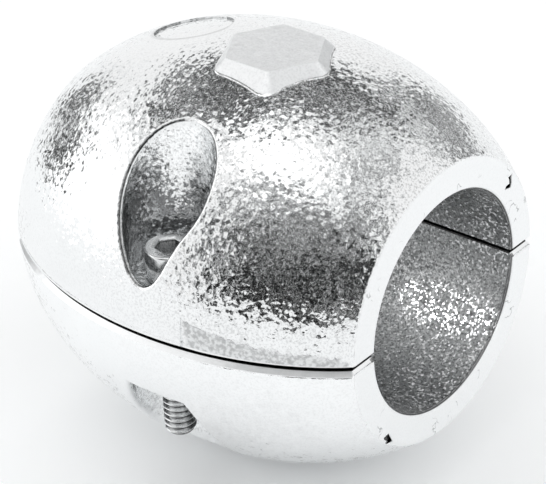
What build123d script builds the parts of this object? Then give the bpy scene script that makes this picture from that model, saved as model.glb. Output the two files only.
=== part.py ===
"""Split-collar anode for a propeller shaft.

Two zinc half shells close round the shaft and are drawn together by two socket head
cap screws, one on each side, which stand in pockets sunk into the egg-shaped body.
The shaft runs along X and the halves part on the XY plane. The origin is the middle of
the bore. The upper half is drilled for the screws and the lower half is tapped for them.
"""
import os
from math import sqrt

from build123d import *

os.makedirs("parts", exist_ok=True)

# ---------------------------------------------------------------- driving dimensions, mm
SHAFT_D = 44.45              # 1-3/4 in propeller shaft
BORE_FIT = 0.025             # radial room between shaft and bore
BODY_D = 85.725              # 3-3/8 in, at mid-length
BODY_LENGTH = 84.0
RING_D = 57.15               # 2-1/4 in, outer edge of the flat face at each end
RING_EDGE_R = 1.1            # rounding between end face and body
BORE_CHAMFER = 0.5
PARTING_GAP = 0.9            # left open between the halves once they grip the shaft
UPPER_CHAMFER = 0.5          # along the outer edge of the upper parting face
LOWER_CHAMFER = 0.9          # and of the lower one

SCREW_D = 6.35               # 1/4-20 UNC socket head cap screw
SCREW_PITCH = 25.4 / 20
SCREW_LENGTH = 34.925        # under the head, 1-3/8 in
HEAD_D = 9.525
HEAD_H = 6.35
HEAD_EDGE = 0.45             # chamfer round the top of the head
SOCKET_AF = 4.7625           # 3/16 in hexagon key
SOCKET_DEPTH = 3.0
CLEARANCE_FIT = 0.25         # radial room for the screw in the upper half
THREAD_FIT = 0.02            # radial room between thread crests and the tapped hole

SCREW_X = 2.0                # the screws lie a little towards +X of mid-length
SCREW_INSET = 0.36           # and this much inside the middle of the wall between bore and body
POCKET_X = 2.3               # the cast pockets are not quite central on the drilled holes
POCKET_WEB = 1.9             # metal between an upper pocket's floor and the bore, seen from above
POCKET_DRAFT = 3.0           # the upper pockets widen upward by this many degrees a side
FLAT_ANGLE = 36.0            # their outer wall towards +X is flat, and faces this far out from +X
FLAT_DEPTH = 0.8             # what the flat takes off the radius of the floor
FLAT_BLEND_R = 4.0           # rounding between the flat and the round wall
POCKET_FLOOR = 7.9           # height of their floor over the parting plane
LOWER_X = 2.7                # the lower pockets are cored straight, and a little wider
LOWER_WEB = 0.65
LOWER_FLOOR = 14.0           # depth of their floor below the parting plane, for the threads
POCKET_FLOOR_R = 1.0         # rounding where floor meets wall
POCKET_MOUTH_R = 0.7         # rounding of the cast edge round an upper mouth
LOWER_MOUTH_R = 0.9          # and round a lower one

PAD_X, PAD_Y = 4.0, -1.7     # middle of the six-sided pad on the crown
PAD_PROUD = 0.44             # height of its flat over the crown
PAD_CORNER_R = 10.1          # middle to corner, at the flat
PAD_DEPTH = 5.0              # from the flat down to where the skirt ends inside the body
PAD_DRAFT = 46               # slope of the skirt from upright, degrees
PAD_ROUND = 1.2              # rounding of the six corners

BADGE_BACK, BADGE_Y = 22.5, 2.0   # middle of the shallow oval recess, in from the -X end face
BADGE_LENGTH, BADGE_WIDTH = 17.0, 14.0
BADGE_DEPTH = 0.4

TRIM_BACK = (30.0, 15.0, 0.0)   # dressed strip along the near parting edge, in from the +X end face
TRIM_DEPTH = (0.6, 0.28, 0.15)  # metal taken off at each
TRIM_HEIGHT = 9.0               # the strip runs out into the body below this height

# Two blowholes left in the +X end face by the pour. Each has its middle's distance beyond the
# middle of the ring and its angle from +Y, then its corners as (y, z) from that middle.
PIT_DEPTH = 0.7
UPPER_PIT_OUT, UPPER_PIT_ANGLE = 1.1, 39.0
UPPER_PIT = ((-0.7, 1.9), (-0.2, 1.0), (1.3, 1.3), (0.8, 0.7), (0.9, -0.6),
             (0.5, -1.6), (-1.4, -1.2), (-1.0, -0.6), (0.1, -0.5), (0.0, 0.4))
LOWER_PIT_OUT, LOWER_PIT_ANGLE = 2.5, 228.0
LOWER_PIT = ((-1.4, 1.1), (0.2, 1.3), (1.5, -1.3), (-0.4, -1.0))

# ---------------------------------------------------------------- derived sizes
bore_r = SHAFT_D / 2 + BORE_FIT
body_r = BODY_D / 2
half_length = BODY_LENGTH / 2
screw_y = (bore_r + body_r) / 2 - SCREW_INSET
pocket_r = screw_y - bore_r - POCKET_WEB
lower_r = screw_y - bore_r - LOWER_WEB
ring_mid_r = (bore_r + RING_D / 2) / 2
pad_top = body_r + PAD_PROUD
badge_x = BADGE_BACK - half_length
trim_x = [half_length - back for back in TRIM_BACK]
# The outline is an ellipse that passes through the ring edge at each end face.
ellipse_a = half_length / sqrt(1 - (RING_D / BODY_D) ** 2)


def outline_r(x):
    """Radius of the body at a distance x from mid-length."""
    return body_r * sqrt(1 - (x / ellipse_a) ** 2)


# ---------------------------------------------------------------- shell, before splitting
with BuildPart() as shell:
    with BuildSketch(Plane.XZ) as section:
        Ellipse(ellipse_a, body_r)
        with Locations((0, bore_r)):
            Rectangle(BODY_LENGTH, body_r, align=(Align.CENTER, Align.MIN), mode=Mode.INTERSECT)
        fillet(section.vertices().group_by(Axis.Y)[-1], RING_EDGE_R)
        chamfer(section.vertices().group_by(Axis.Y)[0], BORE_CHAMFER)
    revolve(axis=Axis.X)

# A thin skin under the surface of the shell, cut to the oval: what the recess takes away.
with BuildPart() as badge_recess:
    with BuildSketch(Plane.XZ) as skin:
        Ellipse(ellipse_a + 1, body_r + 1)
        Ellipse(ellipse_a - BADGE_DEPTH, body_r - BADGE_DEPTH, mode=Mode.SUBTRACT)
        Rectangle(BODY_LENGTH, body_r * 2, align=(Align.CENTER, Align.MIN), mode=Mode.INTERSECT)
    revolve(axis=Axis.X)
    with BuildSketch(Plane.XY) as oval:
        with Locations((badge_x, BADGE_Y)):
            Ellipse(BADGE_LENGTH / 2, BADGE_WIDTH / 2)
    extrude(amount=body_r + 1, mode=Mode.INTERSECT)

# ---------------------------------------------------------------- upper half
with BuildPart() as upper_half:
    add(shell.part)
    split(bisect_by=Plane.XY.offset(PARTING_GAP / 2), keep=Keep.TOP)
    rim = upper_half.faces().sort_by(Axis.Z)[:2].edges().filter_by(GeomType.BSPLINE)
    chamfer(rim, UPPER_CHAMFER)

    # Six-sided pad on the crown, with a sloping skirt that runs out into the body.
    with BuildSketch(Plane.XY.offset(pad_top)) as pad:
        with Locations((PAD_X, PAD_Y)):
            RegularPolygon(PAD_CORNER_R, 6)
        fillet(pad.vertices(), PAD_ROUND)
    extrude(amount=-PAD_DEPTH, taper=-PAD_DRAFT)

    add(badge_recess.part, mode=Mode.SUBTRACT)

    # Flash dressed off the near parting edge, towards the +X end, leaving an upright flat.
    with BuildSketch(Plane.XY.offset(PARTING_GAP / 2)) as trim:
        with BuildLine():
            dressed = Spline([(x, d - outline_r(x)) for x, d in zip(trim_x, TRIM_DEPTH)])
            Polyline(dressed @ 1, (trim_x[-1], -body_r - 1), (trim_x[0], -body_r - 1), dressed @ 0)
        make_face()
    extrude(amount=TRIM_HEIGHT, mode=Mode.SUBTRACT)

    # Screw pockets, down to a flat seat, and the clearance holes below them.
    with BuildSketch(Plane.XY.offset(POCKET_FLOOR)) as pockets:
        for side in (-1, 1):
            with Locations((POCKET_X, side * screw_y)):
                Circle(pocket_r)
                with PolarLocations(pocket_r - FLAT_DEPTH, 1, side * FLAT_ANGLE):
                    Rectangle(pocket_r, pocket_r * 2, align=(Align.MIN, Align.CENTER), mode=Mode.SUBTRACT)
        fillet(pockets.vertices(), FLAT_BLEND_R)
    extrude(amount=body_r, taper=-POCKET_DRAFT, mode=Mode.SUBTRACT)
    pocket_edges = upper_half.edges(Select.LAST)
    floors = pocket_edges.filter_by_position(Axis.Z, POCKET_FLOOR - 0.01, POCKET_FLOOR + 0.01)
    mouths = pocket_edges.filter_by(lambda edge: edge.bounding_box().min.Z > POCKET_FLOOR + 0.01)
    fillet(floors, POCKET_FLOOR_R)
    fillet(mouths, POCKET_MOUTH_R)
    with BuildSketch(Plane.XY) as clearance_holes:
        with Locations((SCREW_X, -screw_y), (SCREW_X, screw_y)):
            Circle(SCREW_D / 2 + CLEARANCE_FIT)
    extrude(amount=POCKET_FLOOR + 1, mode=Mode.SUBTRACT)

    with BuildSketch(Plane.YZ.offset(half_length)) as upper_pit:
        with PolarLocations(ring_mid_r + UPPER_PIT_OUT, 1, UPPER_PIT_ANGLE, rotate=False):
            Polygon(*UPPER_PIT, align=None)
    extrude(amount=-PIT_DEPTH, mode=Mode.SUBTRACT)
upper_half.part.label = "upper_half"

# ---------------------------------------------------------------- lower half
with BuildPart() as lower_half:
    add(shell.part)
    split(bisect_by=Plane.XY.offset(-PARTING_GAP / 2), keep=Keep.BOTTOM)
    rim = lower_half.faces().sort_by(Axis.Z)[-2:].edges().filter_by(GeomType.BSPLINE)
    chamfer(rim, LOWER_CHAMFER)

    # Pockets from below for the screw tips, and the tapped holes between them and the parting face.
    with BuildSketch(Plane.XY.offset(-LOWER_FLOOR)) as pockets_below:
        with Locations((LOWER_X, -screw_y), (LOWER_X, screw_y)):
            Circle(lower_r)
    extrude(amount=-body_r, mode=Mode.SUBTRACT)
    walls = lower_half.faces().filter_by(GeomType.CYLINDER).sort_by(Axis.Y)
    floors = lower_half.faces().filter_by_position(Axis.Z, -LOWER_FLOOR - 0.01, -LOWER_FLOOR + 0.01)
    mouths = (walls[0].edges() + walls[-1].edges() + floors.edges()).filter_by(GeomType.BSPLINE)
    fillet(mouths, LOWER_MOUTH_R)
    with BuildSketch(Plane.XY) as tapped_holes:
        with Locations((SCREW_X, -screw_y), (SCREW_X, screw_y)):
            Circle(SCREW_D / 2 + THREAD_FIT)
    extrude(amount=-LOWER_FLOOR - 1, mode=Mode.SUBTRACT)

    with BuildSketch(Plane.YZ.offset(half_length)) as lower_pit:
        with PolarLocations(ring_mid_r + LOWER_PIT_OUT, 1, LOWER_PIT_ANGLE, rotate=False):
            Polygon(*LOWER_PIT, align=None)
    extrude(amount=-PIT_DEPTH, mode=Mode.SUBTRACT)
lower_half.part.label = "lower_half"


# ---------------------------------------------------------------- screws
with BuildPart() as near_screw:
    with BuildSketch(Plane.XY.offset(POCKET_FLOOR)) as head:
        with Locations((SCREW_X, -screw_y)):
            Circle(HEAD_D / 2)
    extrude(amount=HEAD_H)
    chamfer(near_screw.faces().sort_by(Axis.Z)[-1].edges(), HEAD_EDGE)
    with BuildSketch(Plane.XY.offset(POCKET_FLOOR)) as shank:
        with Locations((SCREW_X, -screw_y)):
            Circle(SCREW_D / 2)
    extrude(amount=-SCREW_LENGTH)
    chamfer(near_screw.faces().sort_by(Axis.Z)[0].edges(), SCREW_PITCH / 2)
    with BuildSketch(Plane.XY.offset(POCKET_FLOOR + HEAD_H)) as hexagon:
        with Locations((SCREW_X, -screw_y)):
            RegularPolygon(SOCKET_AF / 2, 6, major_radius=False)
    extrude(amount=-SOCKET_DEPTH, mode=Mode.SUBTRACT)
near_screw.part.label = "near_screw"

with BuildPart() as far_screw:
    add(near_screw.part)
    mirror(about=Plane.XZ, mode=Mode.REPLACE)
far_screw.part.label = "far_screw"

for piece in (upper_half, lower_half, near_screw, far_screw):
    export_step(piece.part, f"parts/{piece.part.label}.step")
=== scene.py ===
"""Split-collar zinc anode for a propeller shaft, dressed for the studio.

Metres, in the frame of the CAD part: the shaft runs along X, the halves part on the XY plane
and the screw heads are on the +Z side.
"""
import math

import bpy
import numpy as np
from mathutils import Matrix, Vector


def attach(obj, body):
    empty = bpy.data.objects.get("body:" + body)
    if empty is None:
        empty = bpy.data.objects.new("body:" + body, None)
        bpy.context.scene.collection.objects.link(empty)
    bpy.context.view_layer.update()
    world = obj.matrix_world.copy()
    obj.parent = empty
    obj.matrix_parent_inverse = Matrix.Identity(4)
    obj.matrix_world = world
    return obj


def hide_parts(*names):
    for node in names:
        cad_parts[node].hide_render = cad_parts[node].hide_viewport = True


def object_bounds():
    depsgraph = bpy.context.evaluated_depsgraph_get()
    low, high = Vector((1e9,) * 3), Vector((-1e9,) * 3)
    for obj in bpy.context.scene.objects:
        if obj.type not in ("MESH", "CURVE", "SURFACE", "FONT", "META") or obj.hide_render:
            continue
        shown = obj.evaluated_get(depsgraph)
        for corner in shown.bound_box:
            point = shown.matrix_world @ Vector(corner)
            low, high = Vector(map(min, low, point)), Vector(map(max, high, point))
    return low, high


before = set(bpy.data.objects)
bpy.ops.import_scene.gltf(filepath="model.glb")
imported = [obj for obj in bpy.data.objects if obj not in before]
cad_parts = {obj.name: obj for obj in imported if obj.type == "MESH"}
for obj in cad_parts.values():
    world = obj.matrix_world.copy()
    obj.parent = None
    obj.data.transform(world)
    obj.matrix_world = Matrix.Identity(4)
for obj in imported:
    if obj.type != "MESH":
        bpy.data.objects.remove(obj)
cad_box = [list(corner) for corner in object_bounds()]
scene = bpy.context.scene
scene.view_settings.view_transform = "Standard"


# ---------------------------------------------------------------- camera
# A long lens about half a metre away, above and to the near side of the +X end. It is turned
# a little about its own axis and shifted to frame the part.
CAMERA_AZIMUTH = math.radians(39.919)      # from the near side (-Y) towards +X
CAMERA_ELEVATION = math.radians(30.683)
CAMERA_ROLL = math.radians(-2.227)
CAMERA_DISTANCE = 0.47552                  # to the middle of the bore
SENSOR_WIDTH = 36.0                        # millimetres, as the lens is
FRAME_WIDTH, FRAME_HEIGHT = 546, 484       # pixels, as are the next two
FOCAL_PIXELS = 2404.96
AXIS_PIXEL = (272.205, 236.219)            # where the lens axis meets the frame

towards_camera = Vector((
    math.sin(CAMERA_AZIMUTH) * math.cos(CAMERA_ELEVATION),
    -math.cos(CAMERA_AZIMUTH) * math.cos(CAMERA_ELEVATION),
    math.sin(CAMERA_ELEVATION),
))
level_right = (-towards_camera).cross(Vector((0, 0, 1))).normalized()
level_up = level_right.cross(-towards_camera)
right = math.cos(CAMERA_ROLL) * level_right + math.sin(CAMERA_ROLL) * level_up
up = math.cos(CAMERA_ROLL) * level_up - math.sin(CAMERA_ROLL) * level_right

camera_data = bpy.data.cameras.new("camera")
camera_data.sensor_width = SENSOR_WIDTH
camera_data.lens = FOCAL_PIXELS / FRAME_WIDTH * SENSOR_WIDTH
camera_data.shift_x = (FRAME_WIDTH / 2 - AXIS_PIXEL[0]) / FRAME_WIDTH
camera_data.shift_y = (AXIS_PIXEL[1] - FRAME_HEIGHT / 2) / FRAME_WIDTH
camera_data.clip_start = 0.01
camera_data.clip_end = 20.0
camera = bpy.data.objects.new("camera", camera_data)
turned = Matrix((right, up, towards_camera)).transposed()
camera.matrix_world = Matrix.Translation(towards_camera * CAMERA_DISTANCE) @ turned.to_4x4()
scene.collection.objects.link(camera)
scene.camera = camera


# ---------------------------------------------------------------- studio
# A white tent lights the part evenly. Two large soft lamps lift its left and its crown, a
# narrow one reaches into the bore, and mottled grey cards give bright metal darks to reflect.
def value_of(tree, operation, *operands):
    """The output of a Math node over sockets and numbers."""
    new = tree.nodes.new("ShaderNodeMath")
    new.operation = operation
    for socket, operand in zip(new.inputs, operands):
        if isinstance(operand, (int, float)):
            socket.default_value = operand
        else:
            tree.links.new(operand, socket)
    return new.outputs[0]


def plus(tree, a, b):
    """a and b added together."""
    return value_of(tree, "ADD", a, b)


def less(tree, a, b):
    """a less b."""
    return value_of(tree, "SUBTRACT", a, b)


def times(tree, first, *others):
    """Values multiplied together, which for masks is where all of them hold."""
    for other in others:
        first = value_of(tree, "MULTIPLY", first, other)
    return first


def greatest(tree, first, *others):
    """The greatest of some values, which for masks is where any of them holds."""
    for other in others:
        first = value_of(tree, "MAXIMUM", first, other)
    return first


def ramp(tree, socket, low, high, out_low=0.0, out_high=1.0):
    """socket mapped smoothly from low..high to out_low..out_high."""
    new = tree.nodes.new("ShaderNodeMapRange")
    new.interpolation_type = "SMOOTHSTEP"
    tree.links.new(socket, new.inputs["Value"])
    for label, number in (("From Min", low), ("From Max", high), ("To Min", out_low), ("To Max", out_high)):
        new.inputs[label].default_value = number
    return new.outputs["Result"]


def noise(tree, vector, size, detail=2.0, roughness=0.5):
    """Noise whose features are about size metres across."""
    new = tree.nodes.new("ShaderNodeTexNoise")
    tree.links.new(vector, new.inputs["Vector"])
    new.inputs["Scale"].default_value = 1.0 / size
    new.inputs["Detail"].default_value = detail
    new.inputs["Roughness"].default_value = roughness
    return new.outputs["Fac"]


def mix(tree, factor, a, b):
    """A value between a and b."""
    new = tree.nodes.new("ShaderNodeMix")
    new.data_type = "FLOAT"
    for socket, operand in ((new.inputs[0], factor), (new.inputs[2], a), (new.inputs[3], b)):
        if isinstance(operand, (int, float)):
            socket.default_value = operand
        else:
            tree.links.new(operand, socket)
    return new.outputs[0]


def grey(tree, socket):
    """A neutral colour, a touch cool, from a value."""
    new = tree.nodes.new("ShaderNodeCombineColor")
    for channel, tint in (("Red", 0.985), ("Green", 0.995), ("Blue", 1.0)):
        tree.links.new(times(tree, socket, tint), new.inputs[channel])
    return new.outputs["Color"]


def parts_of(tree, vector):
    """The three parts of a vector, each as a socket."""
    new = tree.nodes.new("ShaderNodeSeparateXYZ")
    tree.links.new(vector, new.inputs[0])
    return new.outputs


def direction(azimuth, elevation):
    """The unit vector at an azimuth from +X towards +Y and at an elevation, both in degrees."""
    a, e = math.radians(azimuth), math.radians(elevation)
    return Vector((math.cos(a) * math.cos(e), math.sin(a) * math.cos(e), math.sin(e)))


def hang(name, data, towards, distance, target=(0, 0, 0)):
    """Hang a lamp at a distance from the target along the direction towards, facing the target."""
    obj = bpy.data.objects.new(name, data)
    obj.location = Vector(target) + towards * distance
    obj.rotation_euler = towards.to_track_quat("Z", "Y").to_euler()
    scene.collection.objects.link(obj)


def soft_lamp(name, azimuth, elevation, distance, size, radiance):
    """A square soft lamp that faces the part, with its brightness given per unit of its face."""
    data = bpy.data.lights.new(name, "AREA")
    data.shape = "SQUARE"
    data.size = size
    data.energy = radiance * math.pi * size * size
    hang(name, data, direction(azimuth, elevation), distance)


def grid_mesh(name, points, rings=False):
    """A mesh of quads over a grid of points shaped (rows, columns, 3).

    With rings, each row closes on itself and the first and last rows are filled in. The faces
    point outwards where the rows lead down the outside and each goes round anticlockwise."""
    rows, columns = points.shape[:2]
    i, j = np.meshgrid(np.arange(rows - 1), np.arange(columns if rings else columns - 1), indexing="ij")
    here, below = i * columns, (i + 1) * columns
    beside = (j + 1) % columns
    quads = np.stack([here + j, here + beside, below + beside, below + j], -1).reshape(-1, 4)
    if rings:
        ring = np.arange(columns)
        faces = quads[:, ::-1].tolist() + [ring.tolist(), ((rows - 1) * columns + ring[::-1]).tolist()]
    else:
        faces = quads.tolist()
    mesh = bpy.data.meshes.new(name)
    mesh.from_pydata(points.reshape(-1, 3).tolist(), [], faces)
    obj = bpy.data.objects.new(name, mesh)
    scene.collection.objects.link(obj)
    return obj


CARD_STEPS = 25        # points along each side of a card
CARD_RIM = 0.14        # share of a card's side over which its rim fades
RIM_LIFT = 0.22        # added to the mottle at the rim, which makes it light
LIFT_FROM = 0.45       # share of a card's top height where it begins to brighten
MOTTLE_SIZE = 0.06


def card(name, azimuths, elevations, distance, shades, mottle_range, lift=0.0):
    """A curved card on a sphere round the part, between two azimuths and two elevations.

    A point is distance times (cos a cos e, sin a cos e, sin e). The card is mottled like a
    dim room behind the tent: the noise runs from the first shade to the second over
    mottle_range. lift is how much brighter its upper edge is. It shows only in reflections."""
    a = np.radians(np.linspace(*azimuths, CARD_STEPS))[:, None]
    e = np.radians(np.linspace(*elevations, CARD_STEPS))[None, :]
    points = np.stack(np.broadcast_arrays(
        np.cos(a) * np.cos(e), np.sin(a) * np.cos(e), np.sin(e) + 0 * a), -1)
    obj = grid_mesh(name, points * distance)
    share = np.linspace(0, 1, CARD_STEPS)
    from_edge = np.minimum(share, 1 - share)
    inside = np.clip(np.minimum(*np.meshgrid(from_edge, from_edge, indexing="ij")) / CARD_RIM, 0, 1)
    attribute = obj.data.attributes.new("inside", "FLOAT", "POINT")
    attribute.data.foreach_set("value", inside.ravel().astype(np.float32))
    material = bpy.data.materials.new(name)
    material.use_nodes = True
    tree = material.node_tree
    tree.nodes.clear()
    place = tree.nodes.new("ShaderNodeTexCoord").outputs["Object"]
    rim = tree.nodes.new("ShaderNodeAttribute")
    rim.attribute_name = "inside"
    mottle = plus(tree, noise(tree, place, MOTTLE_SIZE, detail=1.0),
                  times(tree, less(tree, 1.0, rim.outputs["Fac"]), RIM_LIFT))
    top = math.sin(math.radians(elevations[1])) * distance
    lifted = ramp(tree, parts_of(tree, place)[2], top * LIFT_FROM, top, 0.0, lift)
    shade = plus(tree, ramp(tree, mottle, *mottle_range, *shades), lifted)
    glow = tree.nodes.new("ShaderNodeEmission")
    tree.links.new(grey(tree, shade), glow.inputs["Color"])
    out = tree.nodes.new("ShaderNodeOutputMaterial")
    tree.links.new(glow.outputs[0], out.inputs["Surface"])
    obj.data.materials.append(material)
    for ray in ("camera", "diffuse", "transmission", "volume_scatter", "shadow"):
        setattr(obj, "visible_" + ray, False)


world = bpy.data.worlds.new("tent")
world.use_nodes = True
world.node_tree.nodes["Background"].inputs["Color"].default_value = (1, 1, 1, 1)
world.node_tree.nodes["Background"].inputs["Strength"].default_value = 1.0
scene.world = world

soft_lamp("lamp_over", -95, 74, 0.9, size=0.46, radiance=0.55)
soft_lamp("lamp_left", -152, 8, 0.9, size=0.80, radiance=0.45)

# The narrow lamp shines in at the +X end and lights a streak along the far wall of the bore.
STREAK = (0.0320, 0.0155, -0.0135)
SNOOT_AZIMUTH, SNOOT_ELEVATION, SNOOT_DISTANCE = -47, 34, 0.6
snoot = bpy.data.lights.new("lamp_bore", "SPOT")
snoot.energy = 9.0
snoot.spot_size = math.radians(1.95)
snoot.spot_blend = 0.4
snoot.shadow_soft_size = 0.003
hang("lamp_bore", snoot, direction(SNOOT_AZIMUTH, SNOOT_ELEVATION), SNOOT_DISTANCE, STREAK)

card("card_front", (-103, -22), (-10, 61), 0.75, (0.01, 0.80), (0.53, 0.69), lift=0.30)
card("card_back", (60, 208), (37, 79), 0.75, (0.04, 0.95), (0.48, 0.68))
card("card_top", (-30, 64), (56, 74), 0.77, (0.10, 0.95), (0.40, 0.60))
card("card_side", (-40, -6), (40, 60), 0.76, (0.03, 0.85), (0.46, 0.64))
card("card_right", (62, 104), (2, 40), 0.77, (0.10, 0.95), (0.42, 0.62))
card("card_low", (158, 194), (-9, 19), 0.75, (0.05, 1.0), (0.46, 0.64))

# The floor is paper a shade under white, and full white where the camera or a reflection
# sees it, so that only its shadow shows.
FLOOR_GAP = 0.00001
FLOOR_REACH = 6.0
PAPER_WHITE = 0.97
floor_z = cad_box[0][2] - FLOOR_GAP
corners = [(x * FLOOR_REACH, y * FLOOR_REACH, floor_z) for x, y in ((-1, -1), (1, -1), (1, 1), (-1, 1))]
floor_mesh = bpy.data.meshes.new("floor")
floor_mesh.from_pydata(corners, [], [(0, 1, 2, 3)])
floor = bpy.data.objects.new("floor", floor_mesh)
scene.collection.objects.link(floor)
floor_material = bpy.data.materials.new("floor_paper")
floor_material.use_nodes = True
tree = floor_material.node_tree
paper = tree.nodes["Principled BSDF"]
paper.inputs["Roughness"].default_value = 0.9
paper.inputs["Specular IOR Level"].default_value = 0.0
rays = tree.nodes.new("ShaderNodeLightPath").outputs
seen = greatest(tree, rays["Is Camera Ray"], rays["Is Glossy Ray"], rays["Is Transmission Ray"])
tree.links.new(grey(tree, mix(tree, seen, PAPER_WHITE, 1.0)), paper.inputs["Base Color"])
floor_mesh.materials.append(floor_material)


# ---------------------------------------------------------------- cast halves
# Two half shells of bright gravity-cast zinc with an orange-peel skin, drawn together by the
# screws. The bore and the end faces come from smoother parts of the mould, the pockets were
# cored, and the strip beside the near parting edge was dressed with a file.
BORE_R = 0.02225
HALF_LENGTH = 0.042
BODY_R = 0.0428625
RING_R = 0.028575                              # outer edge of each end face
OUTLINE_A = HALF_LENGTH / math.sqrt(1 - (RING_R / BODY_R) ** 2)    # half the ellipse's long axis
OVAL_X, OVAL_Y = -0.0195, 0.002                # middle of the oval recess
OVAL_A, OVAL_B = 0.0085, 0.007
POCKETS_X = 0.002                              # middle of the screw pockets' mouths
BLOWHOLES = ((0.0206, 0.0167, 0.0024), (-0.0187, -0.0207, 0.0020))    # y, z and reach of each

# The cast skin: round bumps a little over 1 mm across on a slow swell, with a finer grain on
# top, and crystals that lean either way, or in the bore only along the shaft.
PEEL_SIZE, PEEL_HEIGHT = 0.0012, 0.00013
SWELL_SIZE, SWELL_HEIGHT = 0.0045, 0.00012
GRAIN_SIZE, GRAIN_HEIGHT = 0.00042, 0.00002
CRYSTAL_SIZE, CRYSTAL_TILT = 0.00066, 0.17
FAN_SIZE, FAN_TILT = 0.00040, 1.5
CRYSTAL_SMOOTHNESS = 0.35


def vector_of(tree, operation, a, b=None):
    """The output of a Vector Math node over vector sockets; b may be a plain triple."""
    new = tree.nodes.new("ShaderNodeVectorMath")
    new.operation = operation
    tree.links.new(a, new.inputs[0])
    if isinstance(b, tuple):
        new.inputs[1].default_value = b
    elif b is not None:
        tree.links.new(b, new.inputs[1])
    return new.outputs[0]


def cast_skin():
    """The node group of the skin. Height is in metres, Grain is the finest pattern by itself
    from 0 to 1, and Normal leans each crystal its own way."""
    tree = bpy.data.node_groups.new("cast_skin", "ShaderNodeTree")
    tree.interface.new_socket("Vector", in_out="INPUT", socket_type="NodeSocketVector")
    for label, usual in (("Peel", 1.0), ("Swell", 1.0), ("Fan", 0.0)):
        socket = tree.interface.new_socket(label, in_out="INPUT", socket_type="NodeSocketFloat")
        socket.default_value = usual
    for label, kind in (("Height", "Float"), ("Grain", "Float"), ("Normal", "Vector")):
        tree.interface.new_socket(label, in_out="OUTPUT", socket_type="NodeSocket" + kind)
    given = tree.nodes.new("NodeGroupInput").outputs
    wanted = tree.nodes.new("NodeGroupOutput").inputs

    peel = noise(tree, given["Vector"], PEEL_SIZE, detail=1.5, roughness=0.45)
    swell = noise(tree, given["Vector"], SWELL_SIZE, detail=1.0)
    grain = noise(tree, given["Vector"], GRAIN_SIZE, detail=1.0)
    bumps = plus(tree, times(tree, peel, PEEL_HEIGHT), times(tree, grain, GRAIN_HEIGHT))
    height = plus(tree, times(tree, bumps, given["Peel"]),
                  times(tree, swell, SWELL_HEIGHT, given["Swell"]))
    tree.links.new(height, wanted["Height"])
    tree.links.new(grain, wanted["Grain"])

    crystals = tree.nodes.new("ShaderNodeTexVoronoi")
    crystals.feature = "SMOOTH_F1"
    crystals.inputs["Smoothness"].default_value = CRYSTAL_SMOOTHNESS
    scale = mix(tree, given["Fan"], 1.0 / CRYSTAL_SIZE, 1.0 / FAN_SIZE)
    tree.links.new(scale, crystals.inputs["Scale"])
    tree.links.new(given["Vector"], crystals.inputs["Vector"])
    every_way = times(tree, given["Peel"], CRYSTAL_TILT)
    along_shaft = times(tree, given["Fan"], FAN_TILT)
    reach = tree.nodes.new("ShaderNodeCombineXYZ")
    tree.links.new(plus(tree, every_way, along_shaft), reach.inputs["X"])
    tree.links.new(every_way, reach.inputs["Y"])
    tree.links.new(every_way, reach.inputs["Z"])
    lean = vector_of(tree, "SUBTRACT", crystals.outputs["Color"], (0.5, 0.5, 0.5))
    lean = vector_of(tree, "MULTIPLY", lean, reach.outputs[0])
    outwards = tree.nodes.new("ShaderNodeNewGeometry").outputs["Normal"]
    leaning = vector_of(tree, "ADD", outwards, lean)
    tree.links.new(vector_of(tree, "NORMALIZE", leaning), wanted["Normal"])
    return tree


def length_of(tree, a, b):
    """The length of the vector (a, b)."""
    return value_of(tree, "SQRT", plus(tree, times(tree, a, a), times(tree, b, b)))


def over(low, high):
    """A limit for where(): 0 up to low, and 1 from high on."""
    return [(low, high, 0.0, 1.0)]


def under(low, high):
    """A limit for where(): 1 up to low, and 0 from high on."""
    return [(low, high, 1.0, 0.0)]


def where(tree, spots, **limits):
    """The mask that is 1 where each named value of spots keeps to all its limits."""
    return times(tree, *(ramp(tree, spots[name], *limit) for name in limits for limit in limits[name]))


def layered(tree, base, *layers):
    """base, with each layer's own value in its place where that layer's mask is 1."""
    for mask, own in layers:
        base = mix(tree, mask, base, own)
    return base


def metal(name):
    """A bare metal: its material, tree, surface shader and Object coordinates."""
    material = bpy.data.materials.new(name)
    material.use_nodes = True
    tree = material.node_tree
    surface = tree.nodes["Principled BSDF"]
    surface.inputs["Metallic"].default_value = 1.0
    return material, tree, surface, tree.nodes.new("ShaderNodeTexCoord").outputs["Object"]


def bump_of(tree, height):
    """A Bump node over a height in metres."""
    bump = tree.nodes.new("ShaderNodeBump")
    bump.inputs["Distance"].default_value = 1.0
    bump.inputs["Strength"].default_value = 1.0
    tree.links.new(height, bump.inputs["Height"])
    return bump


zinc, tree, surface, place = metal("cast_zinc")
px, py, pz = parts_of(tree, place)
radius = length_of(tree, py, pz)
outline = length_of(tree, value_of(tree, "DIVIDE", radius, BODY_R), value_of(tree, "DIVIDE", px, OUTLINE_A))
spots = {
    "x": px,
    "y": py,
    "z": pz,
    "depth": times(tree, less(tree, 1.0, outline), BODY_R),     # below the cast skin
    "beyond_bore": less(tree, radius, BORE_R),
    "from_end": less(tree, HALF_LENGTH, value_of(tree, "ABSOLUTE", px)),
    "off_seam": value_of(tree, "ABSOLUTE", pz),
    "off_pockets": value_of(tree, "ABSOLUTE", less(tree, px, POCKETS_X)),
}
in_bore = where(tree, spots, beyond_bore=under(0.0001, 0.00025))
on_end = where(tree, spots, from_end=under(0.00005, 0.00025))
# The top pad and its skirt, which stand proud of the skin.
raised = where(tree, spots, depth=under(-0.00025, -0.00010), z=over(0.030, 0.031))
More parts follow.
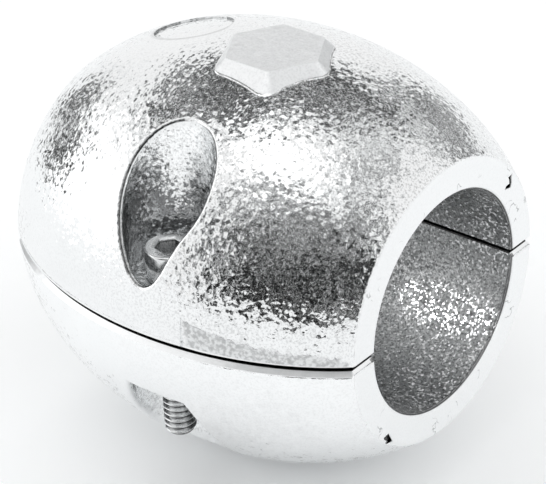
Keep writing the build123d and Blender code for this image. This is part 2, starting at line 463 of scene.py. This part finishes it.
# The cored pockets, with painted shade low down and towards the +X end.
cored = where(tree, spots, depth=over(0.0010, 0.0016), beyond_bore=over(0.0008, 0.0012),
              from_end=over(0.020, 0.024), off_seam=over(0.0020, 0.0030))
pocket_shade = times(tree, cored, where(tree, spots, depth=over(0.004, 0.012)),
              ramp(tree, px, -0.002, 0.004, 0.05, 1.0))
# The dressed strip, with a ragged border.
RAGGED_SIZE, RAGGED_DEPTH, RAGGED_LENGTH = 0.0011, 0.0002, 0.002
ragged = noise(tree, place, RAGGED_SIZE)
spots["ragged_depth"] = plus(tree, spots["depth"], times(tree, less(tree, ragged, 0.5), RAGGED_DEPTH))
spots["ragged_x"] = plus(tree, px, times(tree, ragged, RAGGED_LENGTH))
dressed = where(tree, spots, ragged_depth=over(0.00006, 0.00012), ragged_x=over(0.0128, 0.0142),
                y=under(-0.020, -0.018), z=over(0.0007, 0.0011) + under(0.0085, 0.0105),
                from_end=over(0.0006, 0.0012))
# The broken edges along the parting faces, and the faces themselves, painted black as shade in the gap
# between the halves.
parting = where(tree, spots, off_seam=under(0.0013, 0.0018), from_end=over(0.0001, 0.0004),
                beyond_bore=over(0.0002, 0.0004))
parting_face_shade = where(tree, spots, off_seam=under(0.00046, 0.00052))
# Painted shade round the mouths of the screw pockets and along the rounded edges of the bore.
pocket_mouth_shade = where(tree, spots, depth=over(0.00012, 0.00018) + under(0.00034, 0.00050),
              off_pockets=under(0.0135, 0.014), z=over(0.0098, 0.0102) + under(0.0355, 0.036))
bore_edge_shade = where(tree, spots, from_end=over(0.00012, 0.0002) + under(0.0006, 0.0009),
                  beyond_bore=under(0.0008, 0.0010))
# The two blowholes in the +X end face, painted black inside as shade.
BLOWHOLE_FADE = 0.0002
near_blowholes = []
for y, z, reach in BLOWHOLES:
    away = length_of(tree, less(tree, py, y), less(tree, pz, z))
    near_blowholes.append(ramp(tree, away, reach, reach + BLOWHOLE_FADE, 1.0, 0.0))
blowhole_shade = times(tree, greatest(tree, *near_blowholes), where(
    tree, spots, x=over(0.0405, 0.0406), from_end=over(0.00005, 0.00025), depth=over(0.00058, 0.00064)))
# Fine flow lines, in sparse patches on the end faces.
FLOW_SIZE, PATCH_SIZE = 0.0035, 0.006
spots["off_flow"] = value_of(tree, "ABSOLUTE", less(tree, noise(tree, place, FLOW_SIZE), 0.5))
spots["patch"] = noise(tree, place, PATCH_SIZE, detail=1.0)
marks = times(tree, on_end, where(tree, spots, off_flow=under(0.004, 0.016), patch=over(0.60, 0.66)))
# A thin line of painted shade where the oval recess steps down, wider along its near half. The value oval is
# 0 in the middle of the recess and 1 at its edge.
OVAL_WALL = 0.985
NEAR_REACH, FAR_REACH = 0.14, 0.05
oval = length_of(tree, value_of(tree, "DIVIDE", less(tree, px, OVAL_X), OVAL_A),
                 value_of(tree, "DIVIDE", less(tree, py, OVAL_Y), OVAL_B))
from_wall = value_of(tree, "ABSOLUTE", less(tree, oval, OVAL_WALL))
line_reach = ramp(tree, py, OVAL_Y - 0.002, OVAL_Y + 0.002, NEAR_REACH, FAR_REACH)
spots["off_line"] = value_of(tree, "DIVIDE", from_wall, line_reach)
oval_shade_line = where(tree, spots, off_line=under(0.35, 1.0), z=over(0.030, 0.032))

# How much of the skin's pattern each surface has, from none at 0 to the open skin's at 1.
PAD_FLATNESS = 0.7
flat = greatest(tree, on_end, dressed, parting, times(tree, raised, PAD_FLATNESS))
skin = tree.nodes.new("ShaderNodeGroup")
skin.node_tree = cast_skin()
tree.links.new(place, skin.inputs["Vector"])
tree.links.new(layered(tree, 1.0, (flat, 0.18), (cored, 1.35), (in_bore, 0.08)), skin.inputs["Peel"])
tree.links.new(layered(tree, 1.0, (greatest(tree, flat, in_bore), 0.1)), skin.inputs["Swell"])
tree.links.new(in_bore, skin.inputs["Fan"])
bump = bump_of(tree, skin.outputs["Height"])
tree.links.new(skin.outputs["Normal"], bump.inputs["Normal"])
tree.links.new(bump.outputs["Normal"], surface.inputs["Normal"])

# The tone of each surface, from 0 for black to 1 for white. The lower half is painted a little lighter than
# the upper one as painted light, and the filed strip is patchy.
CLOUD_SIZE, FILED_SIZE = 0.012, 0.0008
cloud = noise(tree, place, CLOUD_SIZE, detail=3.0)
filed = ramp(tree, noise(tree, place, FILED_SIZE), 0.36, 0.64, 0.56, 0.84)
tone = mix(tree, cloud, ramp(tree, pz, -0.004, 0.004, 0.94, 0.86), ramp(tree, pz, -0.004, 0.004, 0.99, 0.92))
# Deep in the pockets and round their mouths the tone is darkened as painted shade.
tone = layered(tree, tone, (on_end, 0.95), (in_bore, 0.78), (raised, 0.98), (cored, 0.99),
               (pocket_shade, 0.46), (pocket_mouth_shade, 0.30), (dressed, filed))
# Grain darkens the bore most, then the +X end of the upper half.
grain_share = times(tree, ramp(tree, px, -0.020, 0.020, 0.05, 0.20), ramp(tree, pz, -0.002, 0.008, 0.35, 1.0))
grain_share = layered(tree, grain_share, (flat, 0.03), (cored, 0.25), (in_bore, 0.42))
bright_grain = ramp(tree, skin.outputs["Grain"], 0.32, 0.56)
tone = less(tree, tone, times(tree, grain_share, less(tree, 1.0, bright_grain)))
# The oval's rim, the bore's edges, the parting faces and the blowholes are darkened here as painted shade.
tone = layered(tree, tone, (oval_shade_line, 0.68), (bore_edge_shade, 0.28), (marks, 0.55),
               (greatest(tree, parting_face_shade, blowhole_shade), 0.06))
tree.links.new(grey(tree, tone), surface.inputs["Base Color"])

OPEN_SKIN_ROUGHNESS = 0.11
finish = layered(tree, OPEN_SKIN_ROUGHNESS, (cored, 0.20), (in_bore, 0.38), (raised, 0.42),
                 (on_end, 0.45), (parting, 0.30), (dressed, 0.50))
tree.links.new(finish, surface.inputs["Roughness"])

for name in ("upper_half", "lower_half"):
    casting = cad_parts[name]
    casting.data.materials.clear()
    casting.data.materials.append(zinc)


# ---------------------------------------------------------------- cap screws
# Two 1/4-20 socket head cap screws in stainless steel, cold headed with rolled threads.
# Each stands on the flat floor of an upper pocket and its tip shows in the lower one.
SCREW_INSET = 0.00036                          # from the middle of the wall towards the bore
SCREW_X = 0.002
SCREW_Y = (BORE_R + BODY_R) / 2 - SCREW_INSET
SEAT_Z = 0.0079
HEAD_R, HEAD_H, HEAD_EDGE = 0.0047625, 0.00635, 0.00045
SOCKET_AF, SOCKET_DEPTH = 0.0047625, 0.0030
SOCKET_LIP = 0.0002                            # what the socket's mouth widens by
DRILL_POINT = 0.0006                           # depth of the dish in the socket's floor
SHANK_R, SHANK_LENGTH = 0.003175, 0.034925
PITCH = 0.0254 / 20
THREAD_DEPTH, THREAD_LENGTH = 0.00075, 0.0254
THREAD_RUNOUT = 0.0006                         # plain shank above the first full turn
TIP_POINT, TIP_SLOPE = 0.0009, 0.9             # height and slope of the tip's chamfer
TIP_CUT = 0.00095                              # what the chamfer takes off the radius at the very tip
TIP_R = 0.0012                                 # a ring on the flat of the tip
FLANK_STEEPNESS, CREST_WIDTH = 1.25, 0.12      # what turns the triangle wave into flat crests and roots
COLUMNS = 96
RINGS_PER_TURN = 12


def cap_screw(name, x, y, turn):
    """A closed surface over the angle a round the screw and over rings that run from the middle
    of the socket's floor, up its six walls, over the head, under it, down the thread and
    across the tip.

    In the socket the radius is SOCKET_AF / 2 over the cosine of the angle from the middle of
    the nearest side. On the thread at height z it is the crest radius less THREAD_DEPTH times a
    triangle wave of z / PITCH - a / 2 pi with its peaks cut flat, and no more than the tip's
    chamfer leaves. The other rings are round."""
    a = np.arange(COLUMNS) / COLUMNS * 2 * np.pi
    round_ring = np.ones(COLUMNS)
    hexagon = SOCKET_AF / 2 / np.cos((a + np.pi / 6) % (np.pi / 3) - np.pi / 6)
    bottom = HEAD_H - SOCKET_DEPTH
    # Share of the hexagon, what is added to it, and height. Close pairs keep the edges crisp.
    share, added, socket_z = np.array([
        (0.02, 0, bottom - DRILL_POINT),
        (0.60, 0, bottom - DRILL_POINT / 3),
        (1, -0.00005, bottom),
        (1, 0, bottom + 0.0001),
        (1, 0, HEAD_H - 0.0006),
        (1, 0, HEAD_H - 0.00022),
        (1, SOCKET_LIP / 2, HEAD_H - 0.00008),
        (1, SOCKET_LIP, HEAD_H),
    ]).T
    bend = np.radians(np.linspace(10, 80, 6))
    edge_r = HEAD_R - HEAD_EDGE + HEAD_EDGE * np.sin(bend)
    edge_z = HEAD_H - HEAD_EDGE + HEAD_EDGE * np.cos(bend)
    thread_top = THREAD_LENGTH - SHANK_LENGTH
    # Radius and height from under the head's rounded edge to the top of the thread.
    under_r, under_z = np.array([
        (HEAD_R, HEAD_H - HEAD_EDGE - 0.0002),
        (HEAD_R, 0.0004),
        (HEAD_R - 0.0001, 0.0001),
        (HEAD_R - 0.0004, 0),
        (SHANK_R + 0.0002, 0),
        (SHANK_R, -0.0003),
        (SHANK_R, thread_top + THREAD_RUNOUT),
    ]).T
    thread_z = np.arange(thread_top, -SHANK_LENGTH, -PITCH / RINGS_PER_TURN)
    level = thread_z[:, None]
    wave = np.abs(((level / PITCH - a / (2 * np.pi)) % 1) * 2 - 1)
    cut = np.clip(wave * FLANK_STEEPNESS - CREST_WIDTH, 0, 1) * THREAD_DEPTH
    fade = np.clip((thread_top - level) / PITCH, 0, 1)
    chamfer = SHANK_R - np.clip(TIP_POINT - SHANK_LENGTH - level, 0, None) * TIP_SLOPE
    tip_r = np.array([SHANK_R - TIP_CUT, TIP_R, 0.00005])
    r = np.concatenate([
        share[:, None] * hexagon + added[:, None],
        np.outer([HEAD_R - HEAD_EDGE - 0.00012], round_ring),
        np.outer(edge_r, round_ring),
        np.outer(under_r, round_ring),
        np.minimum(SHANK_R - cut * fade, chamfer),
        np.outer(tip_r, round_ring),
    ])
    z = np.concatenate([socket_z, [HEAD_H], edge_z, under_z, thread_z, -SHANK_LENGTH + 0 * tip_r])
    z = np.outer(z, round_ring)
    points = np.stack([x + r * np.cos(a + turn), y + r * np.sin(a + turn), SEAT_Z + z], -1)
    obj = grid_mesh(name, points, rings=True)
    obj.data.validate()
    obj.data.shade_smooth()
    return obj


steel, tree, surface, place = metal("stainless_steel")
px, py, pz = parts_of(tree, place)
spots = {
    "z": pz,
    "off_axis": length_of(tree, less(tree, px, SCREW_X), less(tree, value_of(tree, "ABSOLUTE", py), SCREW_Y)),
}
# Painted shade in the roots of the thread and down in the socket, and bright on the crests and the head.
root = where(tree, spots, off_axis=under(SHANK_R - THREAD_DEPTH, SHANK_R - 0.0002),
             z=under(SEAT_Z - 0.001, SEAT_Z))
socket = where(tree, spots, off_axis=under(SOCKET_AF / 2 + 0.0003, SOCKET_AF / 2 + 0.0006),
               z=under(SEAT_Z + HEAD_H - 0.0008, SEAT_Z + HEAD_H - 0.0002) + over(SEAT_Z, SEAT_Z + 0.001))
RUB_SIZE, RUB_HEIGHT = 0.0008, 0.000012
rub = noise(tree, place, RUB_SIZE)
# The thread roots and the socket are darkened as painted shade.
tone = layered(tree, mix(tree, rub, 0.74, 0.86), (root, 0.22), (socket, 0.55))
tree.links.new(grey(tree, tone), surface.inputs["Base Color"])
tree.links.new(ramp(tree, rub, 0.3, 0.7, 0.16, 0.28), surface.inputs["Roughness"])
bump = bump_of(tree, times(tree, rub, RUB_HEIGHT))
tree.links.new(bump.outputs["Normal"], surface.inputs["Normal"])

for name, side, turn in (("near_screw", -1, 0.35), ("far_screw", 1, 1.1)):
    screw = cap_screw(name + "_threaded", SCREW_X, side * SCREW_Y, turn)
    screw.data.materials.append(steel)
    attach(screw, "root")
    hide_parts(name)
